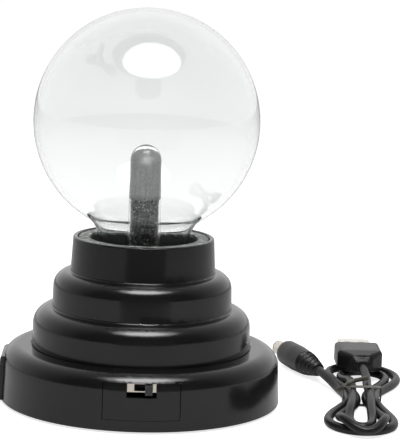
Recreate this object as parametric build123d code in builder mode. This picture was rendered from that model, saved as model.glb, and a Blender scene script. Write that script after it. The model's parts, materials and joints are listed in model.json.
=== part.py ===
"""Plasma ball on a round stepped base, with its power lead lying beside it.

Millimetres, +Z up. The origin is on the surface that the rubber feet stand on, under the
centre of the globe. The front, with the switch, faces -Y, and the power jack faces -X.
"""

import os
from math import asin, cos, pi, radians, sin, sqrt, tan

from build123d import *

os.makedirs("parts", exist_ok=True)

# ---- driving dimensions -------------------------------------------------------------

foot_height = 0.8  # how far the rubber feet hold the base's rim off the table
wall = 1.8  # moulded shell thickness

base_radius = 50.0  # at the rim
base_top_radius = 49.15  # where the drafted wall meets the shoulder
base_deck = foot_height + 19.4
base_shoulder = 6.0
seat_radius = 39.35  # rabbet in the base deck that takes the stepped cover
seat_depth = 0.8
opening_radius = 36.8

tier3_radius = 39.0
tier3_deck = foot_height + 33.2
tier3_shoulder = 6.2
tier2_radius = 32.1
tier2_deck = foot_height + 46.1
tier2_shoulder = 5.4
collar_radius = 25.85
collar_top_radius = 25.1
collar_top = foot_height + 58.7
collar_wall = 1.6

globe_radius = 40.0
globe_z = foot_height + 99.8
glass = 1.2  # wall of the globe
neck_radius = 16.2
neck_blend = 9.5  # concave radius between the globe and its neck
neck_bottom = 46.1

stem_radius = 5.5
stem_foot_radius = 5.8
stem_wall = 0.7
stem_crown = 3.0  # glass left thick where the stem's top was melted shut
stem_top = foot_height + 91.6
stem_straight_bottom = 66.0
coating_top = foot_height + 88.5
coating_bottom = foot_height + 72.3
coating = 0.45

cover_radius = 47.4  # bottom cover
cover_bottom = 1.3
cover_thickness = 1.8
cover_top = cover_bottom + cover_thickness

panel_left = -12.4  # switch panel, seen from the front
panel_right = 13.7
panel_bottom = foot_height + 4.0
panel_top = foot_height + 16.3
panel_gap = 0.25
window_left = -4.44
window_right = 5.74
window_bottom = foot_height + 11.7
window_top = foot_height + 16.5

jack_height = 8.35
jack_panel_face = -50.5
jack_panel_back = -47.7
jack_panel_half = 9.8
jack_hole_radius = 4.0

cell_radius = 5.25  # AAA cell
cell_length = 44.5
cell_pitch = 10.9
cell_count = 4
cell_height = 8.75
bay_half_x = 25.25
bay_half_y = 22.1
bay_wall = 1.4
bay_roof = 14.3
battery_wire_x = bay_half_x - 0.65
door_half_x = 27.2
door_half_y = 23.7
door_gap = 0.3
door_pin_radius = 0.5

board_bottom = 22.4
board_thickness = 1.6
board_top = board_bottom + board_thickness
board_hole = 23.7  # the board's screws stand on a square of twice this

cord_radius = 1.6
dc_barrel_radius = 2.75
dc_barrel_length = 9.5
dc_grip_radius = 4.95
dc_grip_length = 18.7
dc_relief_length = 10.7
usb_width = 12.0
usb_height = 4.5
usb_length = 14.0


def ring(points, radii):
    """Closed section in the XZ plane from its corners and the radius of each corner."""
    with BuildSketch(Plane.XZ) as section:
        with BuildLine():
            FilletPolyline(*points, radius=radii, close=True)
        make_face()
    return section.sketch


def around(radius, *angles):
    """Points at one radius from the centre, at the angles given in degrees from +X."""
    return [(radius * cos(radians(angle)), radius * sin(radians(angle))) for angle in angles]


def screw(shank_radius, length):
    """Pan-head screw with its head below z = 0 and its shank going up from there."""
    head_radius = 2.1 * shank_radius
    head_height = 0.8 * shank_radius
    with BuildPart() as piece:
        with BuildSketch():
            Circle(head_radius)
        extrude(amount=-head_height)
        fillet(piece.edges().sort_by(Axis.Z)[0], 0.4 * head_height)
        with BuildSketch():
            Circle(shank_radius)
        extrude(amount=length)
        with BuildSketch(Plane.XY.offset(-head_height)):
            Rectangle(1.3 * head_radius, 0.4)
            Rectangle(0.4, 1.3 * head_radius)
        extrude(amount=0.5 * head_height, mode=Mode.SUBTRACT)
    return piece.part


def corner_radii(points):
    """Radius of each corner of a cord's route: 0.45 of the shorter run over tan(half turn)."""
    radii = []
    for before, here, after in zip(points, points[1:], points[2:]):
        run_in = Vector(*here) - Vector(*before)
        run_out = Vector(*after) - Vector(*here)
        half_turn = radians(run_in.get_angle(run_out)) / 2
        radii.append(0.45 * min(run_in.length, run_out.length) / tan(half_turn))
    return radii


def tube(points, radius, radii):
    """Round cord or wire of the given radius along straight runs joined by arcs."""
    with BuildPart() as piece:
        with BuildLine():
            route = FilletPolyline(*points, radius=radii)
        with BuildSketch(Plane(origin=route @ 0, z_dir=route % 0)):
            Circle(radius)
        sweep(path=route)
    fill = piece.part.volume / (pi * radius**2 * route.length)
    print(f"tube of {route.length:.1f} mm, volume over section times length {fill:.4f}")
    return piece.part


# ---- base shell and its two panels --------------------------------------------------

base_corners = [
    (base_radius, foot_height),
    (base_top_radius, base_deck),
    (seat_radius, base_deck),
    (seat_radius, base_deck - seat_depth),
    (opening_radius, base_deck - seat_depth),
    (opening_radius, base_deck - seat_depth - 1.2),
    (base_top_radius - wall, base_deck - seat_depth - 1.2),
    (base_radius - wall, foot_height),
]
base_radii = [0.3, base_shoulder, 0.2, 0, 0, 0, base_shoulder - wall, 0]
underside = base_deck - seat_depth - 1.2

shell_screws = around(34.0, 90, 210, 330)
cover_posts = around(40.5, 60, 120, 240, 300)

with BuildPart() as base_shell:
    revolve(ring(base_corners, base_radii), axis=Axis.Z)
    for x, y in shell_screws:
        with BuildSketch(Plane.XY.offset(underside)):
            with Locations((x, y)):
                Circle(4.0)
            with Locations((1.06 * x, 1.06 * y)):
                Circle(4.0)
        extrude(amount=1.2)
    with BuildSketch(Plane.XY.offset(cover_top)):
        with Locations(*cover_posts):
            Circle(3.0)
    extrude(amount=underside + 0.4 - cover_top)
    with BuildSketch(Plane.XY.offset(cover_top)):
        with Locations(*cover_posts):
            Circle(1.17)
    extrude(amount=10.0, mode=Mode.SUBTRACT)
    with BuildSketch(Plane.XY.offset(underside)):
        with Locations(*shell_screws):
            Circle(1.4)
    extrude(amount=1.2, mode=Mode.SUBTRACT)
    with BuildSketch(Plane.XZ.offset(45.0)):
        with Locations(((panel_left + panel_right) / 2, (panel_bottom + panel_top) / 2)):
            Rectangle(panel_right - panel_left + 2 * panel_gap, panel_top - panel_bottom + panel_gap)
        with Locations(((window_left + window_right) / 2, (window_bottom + window_top) / 2)):
            Rectangle(window_right - window_left, window_top - window_bottom)
    extrude(amount=7.0, mode=Mode.SUBTRACT)
    with BuildSketch(Plane.YZ.offset(-52.0)):
        with Locations((0, foot_height + 8.0)):
            Rectangle(2 * jack_panel_half + 0.4, 16.6)
    extrude(amount=6.0, mode=Mode.SUBTRACT)
base_shell.part.label = "base_shell"
export_step(base_shell.part, "parts/base_shell.step")

with BuildPart() as switch_panel:
    revolve(ring(base_corners, base_radii), axis=Axis.Z)
    with BuildSketch(Plane.XZ.offset(45.0)):
        with Locations(((panel_left + panel_right) / 2, (panel_bottom + panel_top) / 2)):
            Rectangle(panel_right - panel_left, panel_top - panel_bottom)
        with Locations(((window_left + window_right) / 2, (window_bottom + window_top) / 2)):
            Rectangle(window_right - window_left, window_top - window_bottom, mode=Mode.SUBTRACT)
    extrude(amount=7.0, mode=Mode.INTERSECT)
switch_panel.part.label = "switch_panel"
export_step(switch_panel.part, "parts/switch_panel.step")

jack_face_top = foot_height + 16.0
with BuildPart() as jack_panel:
    with BuildSketch(Plane.XZ.offset(-jack_panel_half)):
        with BuildLine():
            FilletPolyline(
                (jack_panel_back, foot_height),
                (jack_panel_face, foot_height),
                (jack_panel_face + 0.8, jack_face_top),
                (jack_panel_back, jack_face_top),
                radius=[0, 0.5, 1.2, 0],
                close=True,
            )
        make_face()
    extrude(amount=2 * jack_panel_half)
    with BuildSketch(Plane.YZ.offset(-52.0)):
        with Locations((0, jack_height)):
            Circle(jack_hole_radius)
    extrude(amount=6.0, mode=Mode.SUBTRACT)
jack_panel.part.label = "jack_panel"
export_step(jack_panel.part, "parts/jack_panel.step")

# ---- stepped cover: two tiers and the collar ----------------------------------------

tier_foot = 0.6  # hollow blend where a wall meets the deck below
ledge_z = collar_top - 1.8
ledge_radius = 22.2
board_posts = [(x, y) for x in (-board_hole, board_hole) for y in (-board_hole, board_hole)]

cover_corners = [
    (tier3_radius, base_deck - seat_depth),
    (tier3_radius - 0.25, tier3_deck),
    (tier2_radius, tier3_deck),
    (tier2_radius - 0.4, tier2_deck),
    (collar_radius, tier2_deck),
    (collar_top_radius, collar_top),
    (collar_top_radius - collar_wall, collar_top),
    (collar_top_radius - collar_wall, ledge_z),
    (ledge_radius, ledge_z),
    (ledge_radius, ledge_z - 1.4),
    (collar_radius - wall, ledge_z - 3.0),
    (collar_radius - wall, tier2_deck - wall),
    (tier2_radius - 0.2 - wall, tier2_deck - wall),
    (tier2_radius - wall, tier3_deck - wall),
    (tier3_radius - wall - 0.2, tier3_deck - wall),
    (tier3_radius - wall, base_deck - seat_depth),
]
cover_radii = [
    0, tier3_shoulder, tier_foot, tier2_shoulder, tier_foot, 0.6, 0.5, 0, 0, 0, 0, 0,
    tier2_shoulder - wall, 0, tier3_shoulder - wall, 0,
]

with BuildPart() as stepped_cover:
    revolve(ring(cover_corners, cover_radii), axis=Axis.Z)
    with BuildSketch(Plane.XY.offset(base_deck - seat_depth)):
        with Locations(*shell_screws):
            Circle(2.75)
    extrude(until=Until.NEXT)
    with BuildSketch(Plane.XY.offset(board_top)):
        with Locations(*board_posts):
            Circle(2.6)
    extrude(until=Until.NEXT)
    with BuildSketch(Plane.XY.offset(base_deck - seat_depth)):
        with Locations(*shell_screws):
            Circle(1.17)
    extrude(amount=9.0, mode=Mode.SUBTRACT)
    with BuildSketch(Plane.XY.offset(board_top)):
        with Locations(*board_posts):
            Circle(0.97)
    extrude(amount=6.0, mode=Mode.SUBTRACT)
stepped_cover.part.label = "stepped_cover"
export_step(stepped_cover.part, "parts/stepped_cover.step")

with BuildPart() as neck_ring:
    ring_outer = collar_top_radius - collar_wall - 0.35
    ring_corners = [
        (19.3, collar_top - 0.3),
        (ring_outer, collar_top - 0.3),
        (ring_outer, ledge_z),
        (20.5, ledge_z),
        (20.5, ledge_z - 4.0),
        (19.3, ledge_z - 4.0),
    ]
    revolve(ring(ring_corners, [0.3, 0.3, 0, 0, 0, 0]), axis=Axis.Z)
neck_ring.part.label = "neck_ring"
export_step(neck_ring.part, "parts/neck_ring.step")

with BuildPart() as neck_seat:
    seat_top = tier2_deck - wall
    seat_corners = [
        (7.0, seat_top - 1.5),
        (25.4, seat_top - 1.5),
        (25.4, seat_top),
        (18.7, seat_top),
        (18.7, 52.0),
        (17.2, 52.0),
        (17.2, seat_top),
        (7.0, seat_top),
    ]
    revolve(ring(seat_corners, [0, 0, 0, 1.0, 0.4, 0.4, 0, 0]), axis=Axis.Z)
neck_seat.part.label = "neck_seat"
export_step(neck_seat.part, "parts/neck_seat.step")

with BuildPart() as neck_gasket:
    gasket_corners = [
        (8.0, seat_top),
        (17.15, seat_top),
        (17.15, 54.0),
        (neck_radius + 0.03, 54.0),
        (neck_radius + 0.03, neck_bottom),
        (8.0, neck_bottom),
    ]
    revolve(ring(gasket_corners, [0, 0, 0.3, 0.3, 0, 0.3]), axis=Axis.Z)
neck_gasket.part.label = "neck_gasket"
export_step(neck_gasket.part, "parts/neck_gasket.step")

# ---- glass globe, re-entrant stem, and the electrode inside it ----------------------

blend_reach = globe_radius + neck_blend
blend_angle = asin((neck_radius + neck_blend) / blend_reach)
blend_x = blend_reach * sin(blend_angle)
blend_z = globe_z - blend_reach * cos(blend_angle)


def globe_side(inset):
    """Neck, concave blend and half circle of the globe, the given distance inside its skin."""
    ball = globe_radius - inset
    blend = neck_blend + inset
    middle = (3 * pi / 2 + blend_angle) / 2
    half_way = (blend_angle + pi) / 2
    join = (ball * sin(blend_angle), globe_z - ball * cos(blend_angle))
    with BuildLine() as side:
        Line((neck_radius - inset, neck_bottom), (neck_radius - inset, blend_z))
        ThreePointArc(
            (neck_radius - inset, blend_z),
            (blend_x + blend * cos(middle), blend_z + blend * sin(middle)),
            join,
        )
        ThreePointArc(
            join,
            (ball * sin(half_way), globe_z - ball * cos(half_way)),
            (0, globe_z + ball),
        )
    return side.line


with BuildPart() as globe_glass:
    with BuildSketch(Plane.XZ):
        with BuildLine():
            add(globe_side(0))
            add(globe_side(glass))
            Line((neck_radius, neck_bottom), (neck_radius - glass, neck_bottom))
            Line((0, globe_z + globe_radius), (0, globe_z + globe_radius - glass))
        make_face()
    revolve(axis=Axis.Z)
globe_glass.part.label = "globe_glass"
export_step(globe_glass.part, "parts/globe_glass.step")


def stem_side(inset, top, flare):
    """Flared foot, straight tube and round top of the stem; flare holds the foot's curve."""
    dome = stem_radius - inset
    dome_z = top - dome
    foot = stem_foot_radius - inset
    with BuildLine() as side:
        Bezier(*flare, (foot, stem_straight_bottom))
        Line((foot, stem_straight_bottom), (dome, dome_z))
        ThreePointArc(
            (dome, dome_z),
            (dome * sqrt(0.5), dome_z + dome * sqrt(0.5)),
            (0, dome_z + dome),
        )
    return side.line


with BuildPart() as stem_glass:
    flare_radius = neck_radius - glass
    with BuildSketch(Plane.XZ):
        with BuildLine():
            add(stem_side(0, stem_top, [(flare_radius, neck_bottom + 1.2), (9.0, neck_bottom + 2.5), (5.9, 54.0)]))
            bore_flare = [(flare_radius - 1.2, neck_bottom), (8.0, neck_bottom + 1.5), (5.0, 53.5)]
            add(stem_side(stem_wall, stem_top - stem_crown, bore_flare))
            Line((flare_radius, neck_bottom + 1.2), (flare_radius, neck_bottom))
            Line((flare_radius, neck_bottom), (flare_radius - 1.2, neck_bottom))
            Line((0, stem_top), (0, stem_top - stem_crown))
        make_face()
    revolve(axis=Axis.Z)
stem_glass.part.label = "stem_glass"
export_step(stem_glass.part, "parts/stem_glass.step")

bore = stem_radius - stem_wall - 0.05  # what fills the stem keeps inside this radius

with BuildPart() as electrode_coating:
    dome_z = coating_top - bore
    with BuildSketch(Plane.XZ):
        with BuildLine():
            Line((bore, coating_bottom), (bore, dome_z))
            ThreePointArc((bore, dome_z), (bore * sqrt(0.5), dome_z + bore * sqrt(0.5)), (0, coating_top))
            Line((0, coating_top), (0, coating_top - coating))
            inner = bore - coating
            ThreePointArc(
                (0, coating_top - coating),
                (inner * sqrt(0.5), dome_z + inner * sqrt(0.5)),
                (inner, dome_z),
            )
            Line((inner, dome_z), (inner, coating_bottom))
            Line((inner, coating_bottom), (bore, coating_bottom))
        make_face()
    revolve(axis=Axis.Z)
electrode_coating.part.label = "electrode_coating"
export_step(electrode_coating.part, "parts/electrode_coating.step")

wool_bottom = 54.0
with BuildPart() as steel_wool:
    wool_corners = [
        (0, wool_bottom),
        (bore, wool_bottom),
        (bore, coating_bottom),
        (bore - coating, coating_bottom),
        (bore - coating, coating_top - 8.0),
        (0, coating_top - 8.0),
    ]
    revolve(ring(wool_corners, [0, 1.5, 0, 0, 1.5, 0]), axis=Axis.Z)
steel_wool.part.label = "steel_wool"
export_step(steel_wool.part, "parts/steel_wool.step")

# ---- bottom cover, battery bay and door ---------------------------------------------

bay_corner = 1.5
feet = around(41.5, 30, 150, 210, 330)
door_z = cover_bottom + cover_thickness / 2
hinge_x = -door_half_x + cover_thickness / 2
latch_half = 6.0

with BuildPart() as bottom_cover:
    with BuildSketch(Plane.XY.offset(cover_bottom)):
        Circle(cover_radius)
    extrude(amount=cover_thickness)
    fillet(bottom_cover.edges().sort_by(Axis.Z)[0], 0.4)
    with BuildSketch(Plane.XY.offset(cover_bottom)):
        Rectangle(2 * (door_half_x + door_gap + bay_wall), 2 * (door_half_y + door_gap + bay_wall))
    extrude(amount=bay_roof + 1.2 - cover_bottom)
    fillet(bottom_cover.edges().filter_by(Axis.Z).group_by(SortBy.LENGTH)[-1], bay_corner)
    with BuildSketch(Plane.XY.offset(cover_bottom)):
        Rectangle(2 * bay_half_x, 2 * bay_half_y)
    extrude(amount=bay_roof - cover_bottom, mode=Mode.SUBTRACT)
    with BuildSketch(Plane.XY.offset(cover_bottom)):
        Rectangle(2 * (door_half_x + door_gap), 2 * (door_half_y + door_gap))
        with Locations((door_half_x + door_gap + 0.5, 0)):
            Rectangle(1.6, 2 * latch_half + 0.6)
    extrude(amount=cover_thickness + 0.1, mode=Mode.SUBTRACT)
    with BuildSketch(Plane.XZ.offset(-door_half_y - 1.6)):
        with Locations((hinge_x, door_z)):
            Circle(door_pin_radius + 0.06)
    extrude(amount=2 * door_half_y + 3.2, mode=Mode.SUBTRACT)
    with BuildSketch(Plane.XY.offset(cover_bottom)):
        with Locations(*cover_posts):
            Circle(1.4)
    extrude(amount=cover_thickness, mode=Mode.SUBTRACT)
    with BuildSketch(Plane.XY.offset(cover_bottom)):
        with Locations(*cover_posts):
            Circle(2.9)
    extrude(amount=1.0, mode=Mode.SUBTRACT)
    with BuildSketch(Plane.XY.offset(bay_roof)):
        with Locations((battery_wire_x, -1.5 * cell_pitch), (battery_wire_x, 1.5 * cell_pitch)):
            Circle(0.8)
    extrude(amount=1.2, mode=Mode.SUBTRACT)
bottom_cover.part.label = "bottom_cover"
export_step(bottom_cover.part, "parts/bottom_cover.step")

with BuildPart() as battery_door:
    with BuildSketch(Plane.XZ.offset(-door_half_y)):
        with BuildLine():
            FilletPolyline(
                (-door_half_x, cover_bottom),
                (door_half_x, cover_bottom),
                (door_half_x, cover_top),
                (-door_half_x, cover_top),
                radius=[cover_thickness / 2 - 0.01, 0.3, 0, cover_thickness / 2 - 0.01],
                close=True,
            )
        make_face()
    extrude(amount=2 * door_half_y)
    with BuildSketch(Plane.XY.offset(cover_top - 0.9)):
        with Locations((door_half_x + 0.3, 0)):
            Rectangle(0.8, 2 * latch_half)
    extrude(amount=0.9)
    with BuildSketch(Plane.XZ.offset(-door_half_y - 1.2)):
        with Locations((hinge_x, door_z)):
            Circle(door_pin_radius)
    extrude(amount=2 * door_half_y + 2.4)
    with BuildSketch(Plane.XY.offset(cover_bottom)):
        with Locations(*[(door_half_x - 4.0 - 1.6 * step, 0) for step in range(4)]):
            Rectangle(0.7, 14.0)
    extrude(amount=0.4, mode=Mode.SUBTRACT)
battery_door.part.label = "battery_door"
export_step(battery_door.part, "parts/battery_door.step")

cell_rows = [(step - (cell_count - 1) / 2) * cell_pitch for step in range(cell_count)]
plate_face = bay_half_x - 0.4

for number, row in enumerate(cell_rows, start=1):
    toward = 1 if number % 2 else -1
    tip = toward * plate_face
    with BuildPart() as cell:
        with BuildSketch(Plane(origin=(tip, row, cell_height), x_dir=(0, 1, 0), z_dir=(-toward, 0, 0))):
            Circle(1.9)
        extrude(amount=cell_length)
        with BuildSketch(
            Plane(origin=(tip - toward, row, cell_height), x_dir=(0, 1, 0), z_dir=(-toward, 0, 0))
        ):
            Circle(cell_radius)
        extrude(amount=cell_length - 1.0)
        fillet(cell.edges().filter_by(GeomType.CIRCLE).sort_by(SortBy.RADIUS)[-2:], 0.5)
    cell.part.label = f"aaa_cell_{number}"
    export_step(cell.part, f"parts/aaa_cell_{number}.step")

with BuildPart() as battery_plates:
    for side in (-1, 1):
        with BuildSketch(Plane.YZ.offset(side * bay_half_x)):
            with Locations(*[(row, cell_height) for row in cell_rows]):
                RectangleRounded(9.4, 9.6, 1.0)
        extrude(amount=-side * 0.4)
battery_plates.part.label = "battery_plates"
export_step(battery_plates.part, "parts/battery_plates.step")

spring_length = plate_face * 2 - cell_length
spring_wire = 0.35
with BuildPart() as battery_springs:
    for number, row in enumerate(cell_rows, start=1):
        toward = 1 if number % 2 else -1
        start = -toward * plate_face
        with BuildLine():
            coil = Helix(
                pitch=1.3,
                height=spring_length - 2.2 * spring_wire,
                radius=3.6,
                center=(start + toward * 1.1 * spring_wire, row, cell_height),
                direction=(toward, 0, 0),
            )
        with BuildSketch(Plane(origin=coil @ 0, z_dir=coil % 0)):
            Circle(spring_wire)
        sweep(path=coil, is_frenet=True)
battery_springs.part.label = "battery_springs"
export_step(battery_springs.part, "parts/battery_springs.step")

with BuildPart() as rubber_feet:
    with BuildSketch():
        with Locations(*feet):
            Circle(4.2)
    extrude(amount=cover_bottom)
    fillet(rubber_feet.edges().group_by(Axis.Z)[0], 0.4)
rubber_feet.part.label = "rubber_feet"
export_step(rubber_feet.part, "parts/rubber_feet.step")

cover_screw = screw(1.15, 10.0)
with BuildPart() as cover_screws:
    with Locations(*[(x, y, cover_bottom + 1.0) for x, y in cover_posts]):
        add(cover_screw)
cover_screws.part.label = "cover_screws"
export_step(cover_screws.part, "parts/cover_screws.step")

shell_screw = screw(1.15, 9.0)
with BuildPart() as shell_screw_set:
    with Locations(*[(x, y, underside) for x, y in shell_screws]):
        add(shell_screw)
shell_screw_set.part.label = "shell_screws"
export_step(shell_screw_set.part, "parts/shell_screws.step")

# ---- power board and what stands on it ----------------------------------------------

with BuildPart() as main_board:
    with BuildSketch(Plane.XY.offset(board_bottom)):
        Circle(35.2)
        Rectangle(52.0, 52.0, mode=Mode.INTERSECT)
        with Locations(*board_posts):
            Circle(1.2, mode=Mode.SUBTRACT)
    extrude(amount=board_thickness)
main_board.part.label = "main_board"
export_step(main_board.part, "parts/main_board.step")

board_screw = screw(0.95, 7.0)
with BuildPart() as board_screws:
    with Locations(*[(x, y, board_bottom) for x, y in board_posts]):
        add(board_screw)
board_screws.part.label = "board_screws"
export_step(board_screws.part, "parts/board_screws.step")

core_bottom = board_top + 2.5
core_width = 22.0
core_height = 15.0
core_depth = 7.0
window_width = 5.0
window_height = 9.0
leg_half = 2.75
winding_bottom = core_bottom + 3.0

with BuildPart() as transformer_core:
    with BuildSketch(Plane.XZ.offset(-core_depth / 2)):
        with Locations((0, core_bottom + core_height / 2)):
            Rectangle(core_width, core_height)
        with Locations(
            (-leg_half - window_width / 2, core_bottom + core_height / 2),
            (leg_half + window_width / 2, core_bottom + core_height / 2),
        ):
            Rectangle(window_width, window_height, mode=Mode.SUBTRACT)
    extrude(amount=core_depth)
transformer_core.part.label = "transformer_core"
export_step(transformer_core.part, "parts/transformer_core.step")

former_x = leg_half + 0.75
former_y = core_depth / 2 + 0.75
with BuildPart() as transformer_bobbin:
    with BuildSketch(Plane.XY.offset(board_top)):
        Rectangle(20.0, 17.0)
    extrude(amount=core_bottom - board_top)
    for level in (winding_bottom, winding_bottom + window_height - 0.8):
        with BuildSketch(Plane.XY.offset(level)):
            Rectangle(2 * (leg_half + window_width) - 0.2, 16.0)
        extrude(amount=0.8)
    with BuildSketch(Plane.XY.offset(winding_bottom)):
        Rectangle(2 * former_x, 2 * former_y)
    extrude(amount=window_height)
    with BuildSketch(Plane.XY.offset(winding_bottom)):
        Rectangle(2 * leg_half + 0.1, core_depth + 0.1)
    extrude(amount=window_height, mode=Mode.SUBTRACT)
    for side in (-1, 1):
        with BuildSketch(Plane.XY.offset(core_bottom)):
            with Locations((0, side * (core_depth / 2 + 2.0))):
                Rectangle(12.0, 3.0)
        extrude(amount=winding_bottom - core_bottom)
transformer_bobbin.part.label = "transformer_bobbin"
export_step(transformer_bobbin.part, "parts/transformer_bobbin.step")

with BuildPart() as transformer_winding:
    with BuildSketch(Plane.XY.offset(winding_bottom + 0.85)):
        RectangleRounded(2 * (leg_half + window_width) - 0.6, 15.2, 1.5)
        Rectangle(2 * former_x + 0.1, 2 * former_y + 0.1, mode=Mode.SUBTRACT)
    extrude(amount=window_height - 1.7)
transformer_winding.part.label = "transformer_winding"
export_step(transformer_winding.part, "parts/transformer_winding.step")

for name, x, y, radius, height in (
    ("supply_capacitor", 17.0, 7.0, 4.0, 12.0),
    ("tuning_capacitor", 17.0, -4.5, 3.2, 11.0),
):
    with BuildPart() as can:
        with BuildSketch(Plane.XY.offset(board_top)):
            with Locations((x, y)):
                Circle(radius)
        extrude(amount=height)
        fillet(can.edges().filter_by(GeomType.CIRCLE), 0.4)
    can.part.label = name
    export_step(can.part, f"parts/{name}.step")

sink_x = -18.5
with BuildPart() as heat_sink:
    with BuildSketch(Plane.XY.offset(board_top)):
        with Locations((sink_x, 6.0)):
            Rectangle(16.0 / 2, 1.6)
        with Locations((sink_x - 3.2, 10.0), (sink_x, 10.0), (sink_x + 3.2, 10.0)):
            Rectangle(1.2, 9.0)
    extrude(amount=17.0)
heat_sink.part.label = "heat_sink"
export_step(heat_sink.part, "parts/heat_sink.step")

with BuildPart() as power_transistor:
    with BuildSketch(Plane.XZ.offset(-5.2)):
        with Locations((sink_x, board_top + 9.0)):
            Rectangle(9.8, 8.6)
    extrude(amount=4.2)
    with BuildSketch(Plane.XY.offset(board_top)):
        with Locations((sink_x - 2.5, 3.2), (sink_x, 3.2), (sink_x + 2.5, 3.2)):
            Rectangle(0.8, 0.5)
    extrude(amount=5.0)
power_transistor.part.label = "power_transistor"
export_step(power_transistor.part, "parts/power_transistor.step")

with BuildPart() as resistors:
    for step in range(5):
        x = -12.0 + 6.0 * step
        with BuildSketch(Plane.XZ.offset(13.0)):
            with Locations((x, board_top + 1.2)):
                Circle(1.15)
        extrude(amount=6.2)
        with BuildSketch(Plane.XZ.offset(11.4)):
            with Locations((x, board_top + 1.2)):
                Circle(0.3)
        extrude(amount=9.4)
resistors.part.label = "resistors"
export_step(resistors.part, "parts/resistors.step")

lead_top = wool_bottom + 7.0
core_top = core_bottom + core_height
lead_points = [(0, 0, core_top), (0, 0, 46.0), (1.2, 0, 50.0), (0.6, 0, 54.5), (0.6, 0, lead_top)]
with BuildPart() as high_voltage_lead:
    add(tube(lead_points, 0.9, [3.0, 4.0, 8.0]))
high_voltage_lead.part.label = "high_voltage_lead"
export_step(high_voltage_lead.part, "parts/high_voltage_lead.step")

# ---- slide switch behind the window -------------------------------------------------

switch_left = window_left + 0.15
switch_right = window_right - 0.15
switch_bottom = foot_height + 13.2
switch_top = window_top - 0.1
switch_mid_x = (switch_left + switch_right) / 2
switch_mid_z = (switch_bottom + switch_top) / 2
plate_front = 46.9
slot_left = -1.9
slot_right = 4.4
slot_mid = (slot_left + slot_right) / 2
knob_travel = 3.6
knob_width = 2.5
knob_x = slot_right - 0.1 - knob_width / 2
knob_bottom = foot_height + 12.9
knob_top = foot_height + 16.1

with BuildPart() as switch_plate:
    with BuildSketch(Plane.XZ.offset(plate_front - 0.4)):
        with Locations((switch_mid_x, switch_mid_z)):
            Rectangle(switch_right - switch_left, switch_top - switch_bottom)
        with Locations((slot_mid, switch_mid_z)):
            Rectangle(slot_right - slot_left, 2.4, mode=Mode.SUBTRACT)
    extrude(amount=0.4)
switch_plate.part.label = "switch_plate"
export_step(switch_plate.part, "parts/switch_plate.step")

with BuildPart() as switch_body:
    with BuildSketch(Plane.XZ.offset(plate_front - 5.4)):
        with Locations((switch_mid_x, switch_mid_z)):
            Rectangle(switch_right - switch_left, switch_top - switch_bottom)
    extrude(amount=5.0)
    with BuildSketch(Plane.XZ.offset(plate_front - 2.4)):
        with Locations((slot_mid, switch_mid_z)):
            Rectangle(slot_right - slot_left, 2.4)
    extrude(amount=2.0, mode=Mode.SUBTRACT)
switch_body.part.label = "switch_body"
export_step(switch_body.part, "parts/switch_body.step")

with BuildPart() as switch_knob:
    with BuildSketch(Plane.XZ.offset(plate_front - 2.2)):
        with Locations((knob_x, switch_mid_z)):
            Rectangle(knob_width - 0.2, 2.2)
    extrude(amount=2.5)
    with BuildSketch(Plane.XZ.offset(plate_front + 0.2)):
        with Locations((knob_x, (knob_bottom + knob_top) / 2)):
            RectangleRounded(knob_width, knob_top - knob_bottom, 0.25)
    extrude(amount=3.3)
    with BuildSketch(Plane.XY.offset(knob_bottom)):
        with Locations(*[(knob_x + shift, -plate_front - 3.5) for shift in (-0.75, 0, 0.75)]):
            Rectangle(0.3, 0.5)
    extrude(amount=knob_top - knob_bottom, mode=Mode.SUBTRACT)
switch_knob.part.label = "switch_knob"
export_step(switch_knob.part, "parts/switch_knob.step")

terminal_back = plate_front - 5.4
terminals = [switch_mid_x + shift for shift in (-3.0, 0, 3.0)]
with BuildPart() as switch_terminals:
    with BuildSketch(Plane.XZ.offset(terminal_back)):
        with Locations(*[(x, switch_mid_z) for x in terminals]):
            Rectangle(0.5, 1.4)
    extrude(amount=-2.6)
switch_terminals.part.label = "switch_terminals"
export_step(switch_terminals.part, "parts/switch_terminals.step")

# ---- power jack behind its panel ----------------------------------------------------

jack_length = 14.0
jack_bore = 10.0
jack_bottom = 3.3
jack_top = 14.0
jack_back = jack_panel_back + jack_length

with BuildPart() as jack_body:
    with BuildSketch(Plane.YZ.offset(jack_panel_back)):
        with Locations((0, (jack_bottom + jack_top) / 2)):
            Rectangle(9.0, jack_top - jack_bottom)
    extrude(amount=jack_length)
    with BuildSketch(Plane.YZ.offset(jack_panel_back)):
        with Locations((0, jack_height)):
            Circle(3.1)
    extrude(amount=jack_bore, mode=Mode.SUBTRACT)
    with BuildSketch(Plane.YZ.offset(jack_panel_back)):
        with Locations((0, jack_height)):
            Circle(1.0)
    extrude(amount=jack_length, mode=Mode.SUBTRACT)
jack_body.part.label = "jack_body"
export_step(jack_body.part, "parts/jack_body.step")

with BuildPart() as jack_pin:
    with BuildSketch(Plane.YZ.offset(jack_panel_back + 0.8)):
        with Locations((0, jack_height)):
            Circle(1.0)
    extrude(amount=jack_length + 0.7)
    fillet(jack_pin.edges().sort_by(Axis.X)[0], 0.5)
jack_pin.part.label = "jack_pin"
export_step(jack_pin.part, "parts/jack_pin.step")

with BuildPart() as jack_terminals:
    with BuildSketch(Plane.YZ.offset(jack_back)):
        with Locations((-2.6, jack_height), (2.6, jack_height)):
            Rectangle(1.8, 0.4)
    extrude(amount=2.2)
jack_terminals.part.label = "jack_terminals"
export_step(jack_terminals.part, "parts/jack_terminals.step")

# ---- wires inside the base ----------------------------------------------------------

wire_radius = 0.6
jack_wire_x = jack_back + 1.4
with BuildPart() as jack_wires:
    for y in (-2.6, 2.6):
        route = [
            (jack_wire_x, y, jack_height + 0.2),
            (jack_wire_x, y, 17.0),
            (-24.0, y, 20.0),
            (-24.0, y, board_bottom),
        ]
        add(tube(route, wire_radius, [2.0, 1.2]))
jack_wires.part.label = "jack_wires"
export_step(jack_wires.part, "parts/jack_wires.step")

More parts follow.
